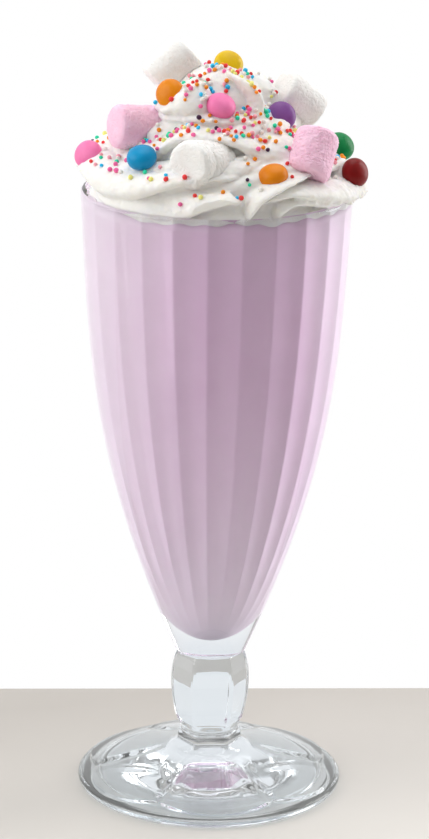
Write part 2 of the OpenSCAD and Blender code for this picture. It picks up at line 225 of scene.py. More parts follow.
# ---------------------------------------------------------------- materials
class Shader:
    """A node material built around one Principled shader."""

    def __init__(self, name, **values):
        self.material = bpy.data.materials.new(name)
        self.material.use_nodes = True
        self.nodes = self.material.node_tree.nodes
        self.links = self.material.node_tree.links
        self.main = self.nodes["Principled BSDF"]
        self.place = self.nodes.new("ShaderNodeTexCoord").outputs["Object"]
        for socket, value in values.items():
            self.main.inputs[socket.replace("_", " ")].default_value = value

    def noise(self, size, detail=3.0):
        """Noise whose features are about size mm across."""
        texture = self.nodes.new("ShaderNodeTexNoise")
        texture.inputs["Scale"].default_value = 1 / (size * MM)
        texture.inputs["Detail"].default_value = detail
        self.links.new(self.place, texture.inputs["Vector"])
        return texture.outputs["Fac"]

    def cells(self, size):
        """Distance to the nearest of scattered points, about size mm apart."""
        texture = self.nodes.new("ShaderNodeTexVoronoi")
        texture.inputs["Scale"].default_value = 1 / (size * MM)
        self.links.new(self.place, texture.inputs["Vector"])
        return texture.outputs["Distance"]

    def ramp(self, factor, *stops):
        """Colours or values against a factor: (position, colour) stops."""
        ramp = self.nodes.new("ShaderNodeValToRGB")
        while len(ramp.color_ramp.elements) < len(stops):
            ramp.color_ramp.elements.new(0.5)
        for element, (position, colour) in zip(ramp.color_ramp.elements, stops):
            element.position = position
            element.color = (*colour, 1) if hasattr(colour, "__len__") else (colour, colour, colour, 1)
        self.links.new(factor, ramp.inputs["Fac"])
        return ramp.outputs["Color"]

    def along(self, direction):
        """The place along one axis, in metres."""
        axis = self.nodes.new("ShaderNodeSeparateXYZ")
        self.links.new(self.place, axis.inputs["Vector"])
        return axis.outputs[direction]

    def between(self, low, high, direction="Z"):
        """0 below one height and 1 above another, in mm, or the same along another axis."""
        share = self.nodes.new("ShaderNodeMapRange")
        share.interpolation_type = "SMOOTHSTEP"
        share.inputs["From Min"].default_value = low * MM
        share.inputs["From Max"].default_value = high * MM
        self.links.new(self.along(direction), share.inputs["Value"])
        return share.outputs["Result"]

    def scaled(self, value, factor, plus):
        """A value times a factor, plus a number or another value."""
        sum_node = self.nodes.new("ShaderNodeMath")
        sum_node.operation = "MULTIPLY_ADD"
        sum_node.inputs[1].default_value = factor
        self.links.new(value, sum_node.inputs[0])
        if isinstance(plus, float):
            sum_node.inputs[2].default_value = plus
        else:
            self.links.new(plus, sum_node.inputs[2])
        return sum_node.outputs["Value"]

    def blend(self, factor, low, high):
        """A mix of two colour outputs."""
        mix = self.nodes.new("ShaderNodeMixRGB")
        self.links.new(factor, mix.inputs["Fac"])
        self.links.new(low, mix.inputs["Color1"])
        self.links.new(high, mix.inputs["Color2"])
        return mix.outputs["Color"]

    def feed(self, output, socket):
        self.links.new(output, self.main.inputs[socket])

    def bump(self, height, depth, strength=1.0, under=None):
        """Relief of about depth mm, on top of the relief under it."""
        bump = self.nodes.new("ShaderNodeBump")
        bump.inputs["Strength"].default_value = strength
        bump.inputs["Distance"].default_value = depth * MM
        self.links.new(height, bump.inputs["Height"])
        if under:
            self.links.new(under, bump.inputs["Normal"])
        self.feed(bump.outputs["Normal"], "Normal")
        return bump.outputs["Normal"]


def linear(*srgb):
    """A colour given in display values from 0 to 255."""
    c = np.array(srgb) / 255
    return tuple(float(x) for x in np.where(c <= 0.04045, c / 12.92, ((c + 0.055) / 1.055) ** 2.4))


THICK_TO_THIN = (44, 66)    # heights between which solid glass gives way to the bowl's thin wall
MILK_PALE_TO_FULL = (40, 165)
# Where along X, in mm, the milk's sides get their whitish painted highlight.
MILK_PAINTED_HIGHLIGHT_ACROSS = (-43, 43)


def clear_glass():
    """Clear glass, a little grey-blue where it is thick, and darker there as painted shade."""
    s = Shader("clear_glass", Roughness=0.0, IOR=1.5, Transmission_Weight=1.0)
    cloud = s.noise(30)
    # The thick glass's darker tint is partly its own colour and partly painted shade, standing in for the dim
    # surroundings seen through it.
    thick = s.ramp(cloud, (0.3, (0.77, 0.82, 0.86)), (0.7, (0.80, 0.845, 0.885)))
    thin = s.ramp(cloud, (0.3, (0.93, 0.95, 0.965)), (0.7, (0.95, 0.965, 0.975)))
    s.feed(s.blend(s.between(*THICK_TO_THIN), thick, thin), "Base Color")
    s.bump(s.noise(9, detail=1.0), 0.1)
    # light passes through the glass to the table and the drink, dimmed mostly by the thick foot
    path = s.nodes.new("ShaderNodeLightPath")
    through = s.nodes.new("ShaderNodeBsdfTransparent")
    passed = s.ramp(s.between(*THICK_TO_THIN), (0, (0.74, 0.76, 0.78)), (1, (0.975, 0.98, 0.985)))
    s.links.new(passed, through.inputs["Color"])
    mix = s.nodes.new("ShaderNodeMixShader")
    s.links.new(path.outputs["Is Shadow Ray"], mix.inputs["Fac"])
    s.links.new(s.main.outputs["BSDF"], mix.inputs[1])
    s.links.new(through.outputs["BSDF"], mix.inputs[2])
    s.links.new(mix.outputs["Shader"], s.nodes["Material Output"].inputs["Surface"])
    return s.material


def milk():
    """Pink milk, paler toward the tip, with a whitish painted highlight along its left and right sides."""
    s = Shader(
        "milkshake", Roughness=0.5, Specular_IOR_Level=0.9, Subsurface_Weight=0.1, Subsurface_Scale=0.002,
        Coat_Weight=0.6, Coat_Roughness=0.45,
    )
    s.main.inputs["Subsurface Radius"].default_value = (1.0, 0.7, 0.9)
    cloud = s.noise(14, detail=4)
    low = s.ramp(cloud, (0.3, (0.94, 0.80, 0.94)), (0.7, (0.97, 0.83, 0.97)))
    high = s.ramp(cloud, (0.3, (0.795, 0.54, 0.76)), (0.7, (0.835, 0.58, 0.80)))
    # A whiter copy of the milk, blended in by a ramp along X: a painted highlight on the left and right
    # sides.
    pale = s.ramp(cloud, (0.3, (0.875, 0.73, 0.85)), (0.7, (0.905, 0.77, 0.88)))
    across = s.ramp(
        s.between(*MILK_PAINTED_HIGHLIGHT_ACROSS, "X"),
        (0.02, 1.0), (0.12, 0.7), (0.25, 0.28), (0.42, 0.0), (0.9, 0.0), (1.0, 0.8),
    )
    side = s.blend(across, high, pale)
    s.feed(s.blend(s.between(*MILK_PALE_TO_FULL), low, side), "Base Color")
    s.bump(s.noise(2.5), 0.03, 0.4)
    return s.material


def cream_finish():
    """Soft white cream with a fine grain and small open bubbles."""
    s = Shader(
        "whipped_cream", Roughness=0.5, Specular_IOR_Level=0.35, Subsurface_Weight=0.35,
        Subsurface_Scale=0.002,
    )
    s.main.inputs["Subsurface Radius"].default_value = (1.0, 0.85, 0.6)
    s.feed(s.ramp(s.noise(6), (0.3, (0.88, 0.867, 0.832)), (0.7, (0.915, 0.908, 0.888))), "Base Color")
    fine = s.bump(s.noise(0.9, detail=5), 0.25, 0.5)
    bubbles = s.ramp(s.cells(1.6), (0.0, 0.0), (0.16, 1.0))
    s.bump(bubbles, 0.2, 0.5, under=fine)
    return s.material


def mallow_finish(name, low, high):
    """A dry, powdery skin with fine creases."""
    s = Shader(
        name, Roughness=0.75, Specular_IOR_Level=0.2, Subsurface_Weight=0.35, Subsurface_Scale=0.0022,
    )
    s.main.inputs["Subsurface Radius"].default_value = (1.0, 0.9, 0.85)
    s.feed(s.ramp(s.noise(3), (0.3, low), (0.7, high)), "Base Color")
    grain = s.bump(s.noise(0.35, detail=4), 0.08, 0.6)
    creases = s.ramp(s.noise(1.5, detail=2), (0.36, 1.0), (0.5, 0.0), (0.64, 1.0))
    s.bump(creases, 0.15, 0.7, under=grain)
    return s.material


def candy_finish(name, deep, light):
    """A smooth sugar shell, a little uneven in colour."""
    s = Shader(name, Roughness=0.36, Specular_IOR_Level=0.2, Coat_Weight=0.04, Coat_Roughness=0.15)
    s.feed(s.ramp(s.noise(5, detail=4), (0.32, deep), (0.68, light)), "Base Color")
    s.bump(s.noise(1.6), 0.06, 0.5)
    return s.material


def sprinkle_finish(name, colour):
    s = Shader(name, Roughness=0.4, Specular_IOR_Level=0.4)
    deep = tuple(0.85 * c for c in colour)
    s.feed(s.ramp(s.noise(1.5), (0.35, deep), (0.65, colour)), "Base Color")
    s.bump(s.noise(0.4), 0.03, 0.5)
    return s.material


# ---------------------------------------------------------------- glass
def hexagon(distance):
    """Radius over all columns of a six-sided form whose faces lie at a distance from the axis."""
    across = (theta + math.pi / 6) % (math.pi / 3) - math.pi / 6
    corner = smooth(1 - (math.pi / 6 - np.abs(across)) / CORNER_REACH)
    return distance / np.cos(across) - CORNER_ROUND * corner


def soft_least(a, b, width):
    """The smaller of two sizes, with a rounded change from one to the other."""
    h = np.clip(0.5 + 0.5 * (b - a) / width, 0, 1)
    return b * (1 - h) + a * h - width * h * (1 - h)


def dome(r):
    """Height of the foot's dome at radius r, with the cove that rises to the stem."""
    rise = (FOOT_DOME_H - FOOT_EDGE_H) * (np.maximum(FOOT_R - r, 0) / (FOOT_R - GROOVE_R)) ** DOME_POWER
    return FOOT_EDGE_H + rise + COVE_H * np.maximum(0, 1 - (r - GROOVE_R) / COVE_W) ** 2


def petal_depth(r):
    """How far inside the petals' scalloped outline a ring of radius r lies, over all columns, in mm."""
    reach = FOOT_R - PETAL_BORDER - PETAL_ROUND
    pitch = 2 * math.pi / PETALS
    across = (theta + pitch / 2) % pitch - pitch / 2
    return PETAL_ROUND - np.hypot(r * np.cos(across) - reach, r * np.sin(across))


def foot_top(r):
    """Height of the foot's top at radius r: a dome with raised petals and creases between them."""
    within = smooth(petal_depth(r) / PETAL_STEP_W + 0.5)
    pitch = 2 * math.pi / PETALS
    across = np.abs((theta + pitch / 2) % pitch - pitch / 2)
    crease = np.exp(-(((pitch / 2 - across) * r / CREASE_W) ** 2)) * smooth((r - CREASE_FROM) / CREASE_FADE)
    return dome(r) - PETAL_RISE * (1 - within) - CREASE_DEPTH * crease * within


def knop_face(z):
    """Distance of the knop's faces from the axis at height z."""
    if z > KNOP_MID_H:
        return KNOP_R - (KNOP_R - KNOP_TOP_R) * ((z - KNOP_MID_H) / (NECK_H - KNOP_MID_H)) ** 2
    return KNOP_R - (KNOP_R - KNOP_LOW_R) * ((KNOP_MID_H - z) / (KNOP_MID_H - KNOP_LOW_H)) ** 2


def flute_dent(z):
    """How far the inside stands in from the flutes' edge line at height z, over all columns."""
    across = (theta * FLUTES / (2 * math.pi) + 0.5) % 1
    return FLUTE_DEPTH * np.sin(math.pi * across) * smooth((z - TIP_H) / FLUTE_FADE)


def inside_curve(count):
    """The inside's outline from its tip up to the drink's level."""
    return bezier(
        (0, TIP_H), (TIP_REACH, TIP_H), (INSIDE_R - INSIDE_HIGH_IN, DRINK_H - INSIDE_HIGH_DOWN),
        (INSIDE_R, DRINK_H), (np.arange(count) + 1) / count,
    )


def foot_rows():
    """The hollow under the foot, its edge and its petalled top, out and back in to the collar."""
    rows = []
    ring = FOOT_R - EDGE_ROUND - CONTACT_W
    flat = 0.75 * ring      # radius at which the hollow's flat roof starts to curve down
    for r in np.linspace(6, flat, 5):
        rows.append((r, HOLLOW_DEPTH))
    for a in np.linspace(0.1, math.pi / 2, 10):
        rows.append((flat + 0.25 * ring * math.sin(a), HOLLOW_DEPTH * math.cos(a)))
    rows.append((ring + CONTACT_W / 2, 0))
    for a in np.linspace(0, math.pi / 2, 9):
        rows.append((FOOT_R - EDGE_ROUND * (1 - math.sin(a)), EDGE_ROUND * (1 - math.cos(a))))
    lip = FOOT_EDGE_H - PETAL_RISE - EDGE_ROUND
    for a in np.linspace(0.25, math.pi / 2, 7):
        rows.append((FOOT_R - FOOT_LIP_IN * (1 - math.cos(a)), EDGE_ROUND + lip * math.sin(a)))
    petal_ends = np.linspace(FOOT_R - FOOT_LIP_IN - FOOT_LIP_STEP, CLOSE_RINGS_TO, 52)
    petal_roots = np.linspace(WIDE_RINGS_FROM, COLLAR_R + 1.2, 34)
    for r in np.concatenate([petal_ends, petal_roots]):
        rows.append((r, foot_top(r)))
    return rows


def stem_rows():
    """The six-sided collar, the groove and the knop with its rounded shoulder."""
    rows = []
    collar = hexagon(COLLAR_R * math.cos(math.pi / 6))
    foot_meets = float(dome(COLLAR_R + 0.5))
    rows.append((collar + 0.35, foot_meets + 0.1))
    for z in np.linspace(foot_meets + 0.5, COLLAR_H - 0.3, 5):
        rows.append((collar, z))
    for a in np.linspace(0.3, math.pi / 2, 4):
        rows.append((collar - 0.4 * (1 - math.cos(a)), COLLAR_H - 0.3 + 0.3 * math.sin(a)))
    for r, z in ((0.4, 0.12), (0.12, 0.35), (0, 0.8), (0, 1.2), (0.15, 1.7), (0.5, 2.1)):
        rows.append((GROOVE_R + r, COLLAR_H + z))
    rows.append((hexagon(KNOP_LOW_R) - 0.35, KNOP_LOW_H - 0.12))
    start = NECK_H - SHOULDER_H
    widest = KNOP_R / math.cos(math.pi / 6) + 0.2
    for z in np.linspace(KNOP_LOW_H + 0.2, NECK_H - 0.05, 64):
        a = math.asin(min(1, max(0, (z - start) / SHOULDER_H)))
        shoulder = NECK_R + (widest - NECK_R) * math.cos(a)
        rows.append((soft_least(hexagon(knop_face(z)), shoulder, 0.5), z))
    rows.append((NECK_R - 0.02, NECK_H))
    return rows


def bowl_rows():
    """The bowl's smooth outside, its lip, and its fluted inside down to the tip."""
    outline = bezier(
        (NECK_R, NECK_H), (NECK_R + BOWL_LOW_OUT, NECK_H + BOWL_LOW_UP),
        (RIM_R - BOWL_HIGH_IN, GLASS_H - BOWL_HIGH_DOWN), (RIM_R, GLASS_H - LIP_ROUND),
        np.linspace(0.004, 1, 84),
    )
    rows = [tuple(p) for p in outline]
    for a in np.linspace(0.2, math.pi / 2, 7):
        rows.append((RIM_R - LIP_ROUND * (1 - math.cos(a)), GLASS_H - LIP_ROUND * (1 - math.sin(a))))
    for a in np.linspace(math.pi / 2 - 0.15, 0, 7):
        z = GLASS_H - LIP_ROUND * (1 - math.sin(a))
        rows.append((INSIDE_R + LIP_ROUND * (1 - math.cos(a)) - flute_dent(z), z))
    for r, z in inside_curve(INSIDE_ROWS)[::-1]:
        rows.append((r - flute_dent(z), z))
    return rows


def make_glass(material):
    piece = lathe("glass_clear", foot_rows() + stem_rows() + bowl_rows(), HOLLOW_DEPTH, TIP_H)
    return finish_piece(piece, material, "glass", "glass")


# ---------------------------------------------------------------- drink
# Waves of the drink's edge along the front: height, count round the glass, and phase.
EDGE_WAVES = ((0.3, 3, 1), (0.3, 7, 2.2), (0.3, 13, 0), (0.35, 31, 0))
LEFT_EDGE_DOWN, LEFT_EDGE_AT = 1.1, 80     # the left stretch's edge below the rim, and where it lies


def make_drink(material):
    """The drink, whose wavy edge rises along the left."""
    tip_end = TIP_H + 4
    rows = [(r + BITE - flute_dent(z), z - BITE * (z < tip_end)) for r, z in inside_curve(INSIDE_ROWS)]
    waves = sum(size * np.sin(count * theta + phase) for size, count, phase in EDGE_WAVES)
    waves = waves * smooth(np.cos(theta - 0.35) * 1.6 - 0.5)
    left = smooth((np.cos(theta + math.radians(GLASS_TURN + LEFT_EDGE_AT)) - 0.7) / 0.15)
    waves = waves + (GLASS_H - LEFT_EDGE_DOWN - DRINK_H) * left
    edge, top = rows[-1]
    rows[-1] = (edge, DRINK_H + waves)
    rows += [(edge - 0.6, DRINK_H + waves), (edge - 1.6, DRINK_H - 0.3)]
    piece = lathe("milkshake_pink", rows, TIP_H - BITE, DRINK_H - 0.6)
    return finish_piece(piece, material, "milkshake", "milkshake")


# ---------------------------------------------------------------- whipped cream
CREAM_R = RIM_R + 0.8
CREAM_H = 41.0
SWIRL_START = 16.0
ROPE_FROM, ROPE_TO = 0.35, 2.6      # the turns of the rope that lie under the folds
RIDGES, RIDGE_DEPTH, RIDGE_TWIST = 6, 0.16, 1.25
ROPE_TURN = [0, 0.9, 1.2, 1.5, 2, 2.5, 3, 3.25]
ROPE_REACH = [0.88, 0.88, 0.83, 0.7, 0.61, 0.48, 0.33, 0.2]
ROPE_MID = [0.13, 0.18, 0.28, 0.35, 0.48, 0.63, 0.79, 0.89]
ROPE_HALF_W = [12, 13.5, 12.5, 11.5, 10.5, 9.5, 8, 4.5]
ROPE_HALF_H = [7, 8.5, 8, 7.5, 7, 7, 6.5, 4.5]


def rope(first, last, per_turn=110, around=84):
    """Points and faces of a twisted star rope that winds up the cream."""
    turn = np.linspace(first, last, int((last - first) * per_turn))[:, None]
    half_w, half_h = (np.interp(turn, ROPE_TURN, size) for size in (ROPE_HALF_W, ROPE_HALF_H))
    centre_r = np.maximum(0, CREAM_R * np.interp(turn, ROPE_TURN, ROPE_REACH) - half_w)
    centre_z = GLASS_H + CREAM_H * np.interp(turn, ROPE_TURN, ROPE_MID)
    way = np.radians(SWIRL_START - 90 + 360 * turn)
    part = np.arange(around)[None] / around
    angle = 2 * math.pi * (part + RIDGE_TWIST * turn)
    size = 1 - RIDGE_DEPTH * (1 - np.sin(math.pi * (part * RIDGES % 1))) ** 2
    r = centre_r + half_w * size * np.cos(angle)
    z = centre_z + half_h * size * np.sin(angle)
    rings = np.stack([r * np.cos(way), r * np.sin(way), z], -1)
    return rings.reshape(-1, 3), tube_faces(len(turn), around)


def level_rings(shape):
    """Points and faces of a form from rows of (radius, height) over all columns."""
    rings = [np.stack([r * np.cos(heading), r * np.sin(heading), np.full(COLUMNS, z)], -1) for r, z in shape]
    return np.vstack(rings), tube_faces(len(shape), COLUMNS)


def cream_fill():
    """Fluted cream from the drink to just above the rim."""
    shape = [
        (INSIDE_R + 0.5 - flute_dent(DRINK_H), DRINK_H - 1.6),
        (INSIDE_R + 0.5 - flute_dent(DRINK_H), DRINK_H + 0.7),
        (INSIDE_R - 0.9, DRINK_H + 1.3),
        (INSIDE_R - 3, GLASS_H + 2),
    ]
    return level_rings(shape)


# Folds of cream, each a lip line with the fold lying above it: degrees round from the front toward
# the right, radius, height, then how tall and how deep the fold is there.
FOLDS = {
    "left_roll": [
        (-135, 37, 207, 5, 9), (-118, 40.5, 207.4, 8, 12), (-96, 42.3, 207, 8, 13),
        (-76, 42.5, 206.2, 7.5, 13), (-57, 42.6, 203.2, 9, 13), (-45, 42.2, 203.6, 9, 13),
        (-33, 42, 205.2, 7.5, 13), (-21, 40.8, 208.6, 4.5, 12), (-8, 38, 210.6, 3, 10),
        (6, 36, 211, 2.5, 9), (15, 32, 212, 2, 6),
    ],
    "front_leaf": [
        (-80, 37, 201.4, 3, 5), (-68, 39.4, 200.6, 5.5, 9), (-54, 41, 199.4, 6.5, 10),
        (-40, 41, 198.9, 8, 10), (-28, 40.9, 198, 9.5, 10), (-19, 40.9, 197.8, 10, 10),
        (-13, 41.4, 199.6, 8.5, 9), (-8, 42.8, 201.8, 6, 9), (-2, 43.4, 203.8, 4, 8),
        (4, 43.2, 204.9, 3.2, 8), (9, 42.4, 204.8, 2.8, 6), (12, 41, 206.4, 1.4, 3),
    ],
    "front_under": [
        (-22, 38, 197.6, 2, 4), (-12, 40.4, 197.6, 3, 6), (-5, 40.9, 197, 4.5, 7), (4, 40.9, 198, 5, 7),
        (11, 40.6, 198.2, 3.5, 6), (16, 39, 199, 2, 4),
    ],
    "middle_leaf": [
        (13.4, 41, 198.4, 1.6, 4), (15.2, 42.4, 201, 3, 6), (16.8, 43.4, 203.4, 3.6, 8),
        (19, 43.8, 205.2, 3.6, 9), (22.6, 43.6, 206.9, 3.2, 10), (28, 43, 208.5, 2.8, 10),
        (33, 42.2, 209.5, 2.6, 10), (40, 41, 210.5, 2.2, 9), (50, 38, 211, 2, 8),
        (62, 35, 211.4, 1.6, 6),
    ],
    "right_roll": [
        (22, 38.6, 203.6, 2, 5), (26, 41, 205, 2.4, 7), (31, 42.8, 205.8, 2.8, 9),
        (37, 43.6, 205.4, 3.8, 10), (46, 44.4, 203.8, 5.5, 11), (57, 45.2, 202, 6.5, 11),
        (68, 46, 201, 7, 11), (80, 46.2, 200.8, 7, 11), (96, 45, 201.6, 7, 11), (116, 42.5, 204, 6, 10),
        (138, 39, 207, 4, 8),
    ],
    "right_under": [
        (25.6, 40.8, 198.2, 1.6, 4), (28.2, 42.4, 200.6, 2.2, 5), (31, 43.2, 202.2, 2.4, 6),
        (34.5, 43.4, 203, 2.4, 7), (40, 43.4, 202.8, 2.6, 8), (48, 43.4, 201.4, 3, 8),
        (58, 43.4, 200.4, 3.5, 8), (72, 42.5, 200.3, 3.5, 7),
    ],
    "right_low": [
        (33, 40.2, 198, 2, 4), (41, 41, 198.2, 2.6, 5), (50, 41, 198, 2.8, 5), (62, 41, 198.4, 3, 5),
        (78, 40, 199, 2, 4),
    ],
    "peak_curl": [
        (-100, 17, 224, 3.5, 7), (-80, 19, 224.4, 4, 8), (-58, 20, 224.8, 4.2, 8),
        (-36, 21.4, 225.4, 4, 8), (-16, 22.2, 225.6, 3.4, 8), (6, 21.8, 225, 3.2, 8),
        (24, 21, 224.8, 3.4, 8), (37, 20.2, 225.4, 3.6, 7), (46, 19.2, 227.6, 3.6, 7),
        (49, 18.6, 230.6, 3.4, 7), (46, 17.6, 233.6, 3.2, 6), (40, 15.4, 236, 3, 6),
        (32, 12.2, 237.8, 2.6, 5), (16, 8, 239.4, 2, 4),
    ],
    "peak_left": [
        (-120, 15, 229, 3, 6), (-98, 17, 227.5, 4.5, 7), (-76, 19, 226.8, 5.4, 8),
        (-62, 20.6, 227, 4.8, 8), (-50, 21, 228.8, 4.4, 9), (-41, 19.4, 231.8, 4, 9),
        (-34, 15.6, 235, 3.4, 8), (-26, 10.6, 238, 2.4, 5),
    ],
    "peak_wedge": [
        (-66, 19.5, 226.6, 2.5, 6), (-50, 22.4, 227.6, 2.2, 6), (-43, 22.9, 227.8, 4.2, 7),
        (-38, 22.9, 227.8, 6.6, 8), (-30, 22.4, 227.2, 9.2, 9), (-19, 20.6, 226.6, 10.6, 10),
        (-11, 17.8, 226.2, 11, 9), (0, 14.5, 226, 9.5, 8),
    ],
    "behind_peak": [
        (96, 19.5, 218, 5, 8), (90, 19.4, 223, 5.5, 9), (94, 18.6, 228, 5.5, 9),
        (106, 16.4, 231.6, 5, 8), (126, 13, 234, 4, 7), (156, 10, 236, 3, 6),
    ],
    "middle_shelf": [
        (-100, 23, 211, 3, 8), (-76, 26.5, 211, 3.6, 9), (-57, 29, 212.4, 4, 9),
        (-42, 28.8, 216.2, 4.6, 10), (-24, 28.4, 220.6, 4.4, 11), (-4, 28, 221, 3.6, 10),
        (10, 28.4, 219.6, 4.4, 10), (18, 29.2, 217.4, 6.2, 11), (27, 30.6, 213.6, 9.4, 13),
        (40, 31.6, 212.2, 10, 13), (54, 31, 212.4, 10, 13), (72, 29.4, 213, 9, 12),
        (94, 27, 215, 7, 10),
    ],
    "shelf_right": [
        (8, 31, 213.2, 2.4, 7), (22, 34, 212, 3.4, 8), (38, 36, 211.6, 4, 9), (56, 38, 210.6, 4.6, 10),
        (76, 39, 209.4, 5, 10), (98, 38, 209.2, 5, 9),
    ],
}
# The far side is closed with one rising leaf, repeated at these degrees from the front.
BACK_LEAF = [
    (0, 41, 200.6, 2, 5), (12, 43, 202, 4.5, 9), (26, 43.4, 204, 5.5, 11), (42, 42, 206.4, 4.5, 11),
    (60, 38, 209, 3, 8),
]
BACK_LEAVES = (98, 132, 166, 200, 232)
# A fold's cross-section, outward and up from its lip, in shares of its depth and its height.
FOLD_SECTION = [
    (0, 0), (0.1, 0.12), (0.12, 0.3), (0.02, 0.55), (-0.2, 0.8), (-0.5, 0.97), (-0.8, 0.9), (-1, 0.6),
    (-1, 0.1), (-0.85, -0.15), (-0.5, -0.1), (-0.22, 0.02), (-0.07, -0.03),
]
# The mound under the folds: radius and height.
CORE = [
    (39.2, GLASS_H - 2.4), (38.4, 203), (37.2, 207), (35, 210), (30, 211.5), (25.5, 214), (21.5, 218),
    (18.5, 222), (16.9, 225.5), (15.6, 229), (12.6, 233.5), (8.4, 237.6), (3.5, 239.6),
]
CUSHION_DOWN, CANDY_CUSHION, MALLOW_CUSHION = 1.6, 4.3, 5.4
BUBBLES, BUBBLES_FROM, BUBBLES_TO = 110, 34, 112     # count, and degrees along the right-hand roll
FOLD_STEPS, FOLD_TAPER, FOLD_TIP = 16, 14, 0.02
VOXEL, SMOOTHING = 0.42, 2
DENT_AT, DENT_R, DENT_DEPTH = (-18.5, -17.5, 219), 6.5, 3.4      # beside the pink left marshmallow
# Unevenness of the cream's skin: height, cell, seed and octaves.
SKIN_NOISE = ((0.3, 6.0, 10, 1), (0.17, 2.4, 11, 2), (0.11, 0.9, 12, 1))
# The ragged skin at the right starts at these degrees and ends at this height, and fades over the widths.
RAGGED_FROM, RAGGED_FROM_W, RAGGED_TOP, RAGGED_TOP_W = 52, 16, 209, 3
RAGGED_DEPTH, RAGGED_CELL = 0.45, 1.7
BOX_MARGIN = 0.05


def curve_through(rows, steps, closed=False):
    """A smooth curve through rows of values, with a number of steps between each two."""
    rows = np.asarray(rows, float)
    ends = (rows[-1:], rows[:2]) if closed else (2 * rows[:1] - rows[1:2], 2 * rows[-1:] - rows[-2:-1])
    around = np.vstack([ends[0], rows, ends[1]])
    t = (np.arange(steps) / steps)[:, None]
    parts = []
    for a, b, c, d in zip(around, around[1:], around[2:], around[3:]):
        parts.append(b + 0.5 * t * (c - a + t * (2 * a - 5 * b + 4 * c - d + t * (3 * (b - c) + d - a))))
    if not closed:
        parts.append(rows[-1:])
    return np.vstack(parts)


def fold(rows):
    """Points and faces of one fold of cream."""
    line = curve_through(rows, FOLD_STEPS)
    way = np.radians(line[:, 0] - 90)
    out = np.stack([np.cos(way), np.sin(way), 0 * way], -1)
    path = out * line[:, 1:2]
    path[:, 2] = line[:, 2]
    along = np.gradient(path, axis=0)
    along /= np.linalg.norm(along, axis=1)[:, None]
    out = out - (out * along).sum(1)[:, None] * along
    out /= np.linalg.norm(out, axis=1)[:, None]
    up = np.cross(out, along)
    end = np.linspace(0, 1, len(line))
    size = np.sqrt(np.clip(np.minimum(end, 1 - end) * FOLD_TAPER, FOLD_TIP, 1))
    section = curve_through(FOLD_SECTION, 5, closed=True)
    rings = (path[:, None] + out[:, None] * (section[None, :, :1] * (line[:, 4] * size)[:, None, None])
             + up[:, None] * (section[None, :, 1:] * (line[:, 3] * size)[:, None, None]))
    return rings.reshape(-1, 3), tube_faces(len(line), len(section))


def ball(centre, radius):
    points, faces = round_form(16, 24, lambda t: (np.sin(t * math.pi), -np.cos(t * math.pi)))
    return points * radius + centre, faces


def cream_core():
    """The mound under the folds, closed down inside the glass."""
    shape = curve_through(CORE, 6)
    return level_rings(shape)


def cushions():
    """Cream pressed up under each candy and marshmallow."""
    tree = BVHTree.FromObject(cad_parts["whipped_cream"], bpy.context.evaluated_depsgraph_get())
    for name in sorted(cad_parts):
        if name.startswith(("candy_", "marshmallow_")):
            centre = sum(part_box(name), Vector()) / 2
            seat = tree.find_nearest(centre)[0]
            down = (seat - centre).normalized()
            wide = CANDY_CUSHION if name.startswith("candy_") else MALLOW_CUSHION
            yield ball(np.array(seat / MM + down * CUSHION_DOWN), wide)


def bubbles():
    """Small bubbles along the lip of the right-hand roll."""
    rng = np.random.default_rng(3)
    lip = curve_through(FOLDS["right_roll"], FOLD_STEPS)
    for degrees in rng.uniform(BUBBLES_FROM, BUBBLES_TO, BUBBLES):
        radius, height = (np.interp(degrees, lip[:, 0], lip[:, k]) for k in (1, 2))
        reach = radius - rng.uniform(-0.1, 1.6)
        way = math.radians(degrees - 90)
        up = height + rng.uniform(-0.7, 1.1)
        yield ball(np.array([reach * math.cos(way), reach * math.sin(way), up]), rng.uniform(0.45, 0.95))


def clear_of_glass(points):
    """Moves cream out of the glass wall, in or up, whichever is nearer."""
    r = np.hypot(points[:, 0], points[:, 1])
    turn = np.arctan2(points[:, 1], points[:, 0]) - math.radians(GLASS_TURN - 90)
    across = (turn * FLUTES / (2 * math.pi) + 0.5) % 1
    limit = INSIDE_R + BITE / 2 - FLUTE_DEPTH * np.sin(math.pi * across)
    top = GLASS_H + 0.12
    hits = (points[:, 2] < top) & (r > limit)
    lift = hits & (top - points[:, 2] < r - limit)
    points[lift, 2] = top
    pull = hits & ~lift
    points[pull, :2] *= (limit[pull] / r[pull])[:, None]
    return points


def press(points, centre, radius, depth):
    """Sinks the cream around a centre, as a topping laid there does."""
    near = np.exp(-((points - np.array(centre)) ** 2).sum(1) / radius**2)
    points[:, 2] -= depth * near


